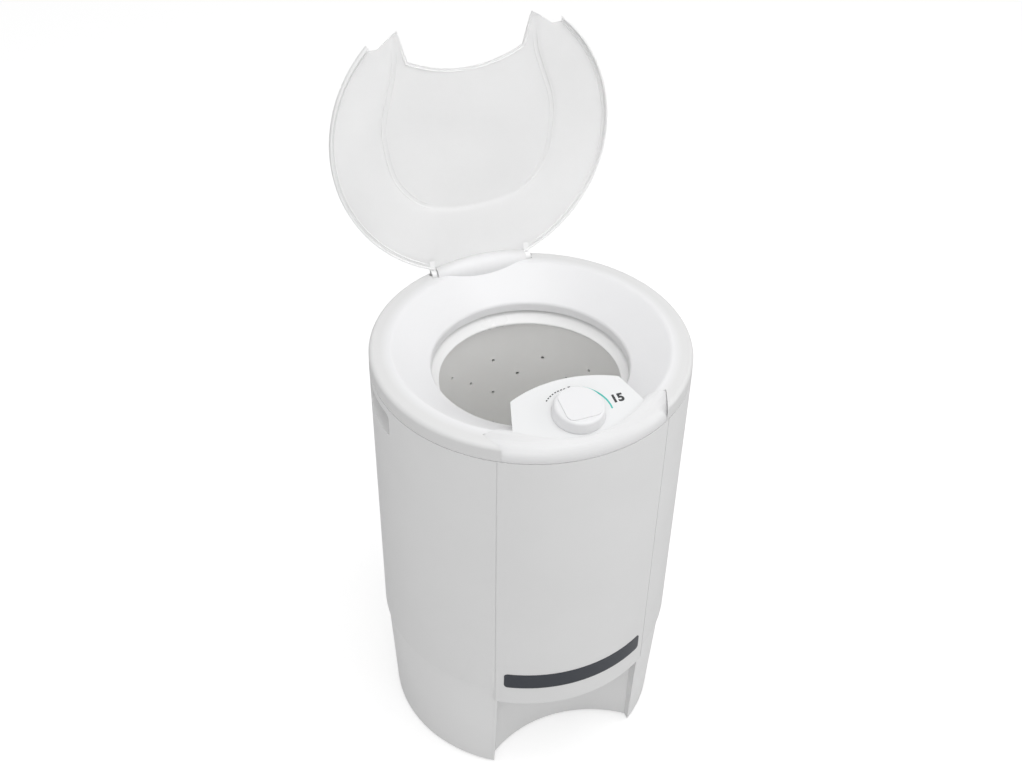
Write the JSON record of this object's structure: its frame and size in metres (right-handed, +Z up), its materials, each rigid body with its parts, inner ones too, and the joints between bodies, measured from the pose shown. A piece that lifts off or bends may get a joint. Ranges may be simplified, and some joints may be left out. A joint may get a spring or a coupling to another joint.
{
  "type": "laundry spin dryer",
  "caption": "Upright white laundry spin dryer with a translucent hinged lid, timer knob, perforated basket on a braked motor, and a bowl recess under the front drain spout.",
  "frame": {"origin": "on the floor, on the basket's axis, at the middle of the cabinet's round base", "axes": "+Z up along the basket's axis, -Y towards the front with the control panel and the bowl recess, +Y towards the lid hinge"},
  "size_m": [0.43, 0.4687, 0.9922],
  "materials": {
    "shell_white": "satin moulded white plastic",
    "base_white": "satin moulded white plastic",
    "ring_white": "smooth moulded white plastic",
    "fascia_white": "smooth bright white plate",
    "knob_white": "satin white plastic",
    "lid_clear": "translucent milky plastic",
    "badge_dark": "dark slate strip, blank",
    "basket_grey": "light grey plastic with drain holes",
    "basket_white": "smooth white plastic",
    "tub_grey": "plain moulded plastic",
    "timer_cream": "moulded timer case",
    "switch_black": "black moulded plastic",
    "rubber_dark": "dark moulded rubber",
    "pad_brown": "bonded friction pad",
    "steel_bright": "bright steel",
    "steel_grey": "plain grey steel",
    "alloy": "cast aluminium",
    "winding_copper": "lacquered copper wire",
    "capacitor_grey": "smooth plastic can"
  },
  "bodies": {
    "cabinet_body": {"cabinet": "shell_white", "base_moulding": "base_white", "base_shelf": "base_white", "base_deck": "base_white", "recess_wall": "base_white", "recess_ceiling": "base_white", "rubber_feet": "rubber_dark", "base_screws": "steel_bright", "cord_gland": "switch_black", "badge_strip": "badge_dark", "top_ring": "ring_white", "control_housing": "ring_white", "fascia": "fascia_white", "timer_body": "timer_cream", "timer_screws": "steel_bright", "tub": "tub_grey", "tub_gasket": "rubber_dark", "tub_screws": "steel_bright", "shaft_seal": "rubber_dark", "drain_spout": "base_white", "motor_shell": "alloy", "motor_upper_shield": "alloy", "motor_lower_shield": "alloy", "motor_bolts": "steel_bright", "motor_bearings": "steel_bright", "stator": "steel_grey", "stator_windings": "winding_copper", "motor_plate": "steel_grey", "rubber_mounts": "rubber_dark", "mount_nuts": "steel_bright", "lid_switch": "switch_black", "brake_bracket": "steel_grey", "brake_pivot": "steel_bright", "brake_spring": "steel_bright", "capacitor": "capacitor_grey", "capacitor_clamp": "steel_grey"},
    "lid": {"lid": "lid_clear", "lid_hinge_pins": "steel_bright"},
    "basket": {"basket": "basket_grey", "basket_ring": "basket_white", "basket_hub": "alloy", "hub_nut": "steel_bright", "drive_shaft": "steel_bright", "rotor": "steel_grey", "brake_disc": "steel_grey"},
    "knob": {"timer_knob": "knob_white", "timer_shaft": "steel_bright"},
    "interlock": {"interlock_rod": "steel_bright"},
    "lever": {"brake_lever": "steel_grey", "brake_pad": "pad_brown"}
  },
  "joints": [
    {"name": "lid_hinge", "type": "hinge", "parent": "cabinet_body", "child": "lid", "pos_m": [0, 0.192, 0.647], "axis": [1, 0, 0], "range_deg": [0, 98]},
    {"name": "basket_spin", "type": "hinge", "parent": "cabinet_body", "child": "basket", "pos_m": [0, 0, 0.24], "axis": [0, 0, 1], "continuous": true},
    {"name": "timer_turn", "type": "hinge", "parent": "cabinet_body", "child": "knob", "pos_m": [0, -0.15802, 0.65031], "axis": [0, -0.1564, 0.9877], "range_deg": [-270, 0]},
    {"name": "rod_slide", "type": "slide", "parent": "cabinet_body", "child": "interlock", "axis": [0, 0, 1], "range_m": [0, 0.00202]},
    {"name": "brake_lever_turn", "type": "hinge", "parent": "cabinet_body", "child": "lever", "pos_m": [0.05316, 0.14026, 0.1745], "axis": [0.9351, -0.3544, 0], "range_deg": [0, 2.37]}
  ],
  "couplings": [
    {"joint": "rod_slide", "follows": "lid_hinge", "m_per_rad": 0.0011693},
    {"joint": "brake_lever_turn", "follows": "lid_hinge", "ratio": 0.023906}
  ]
}
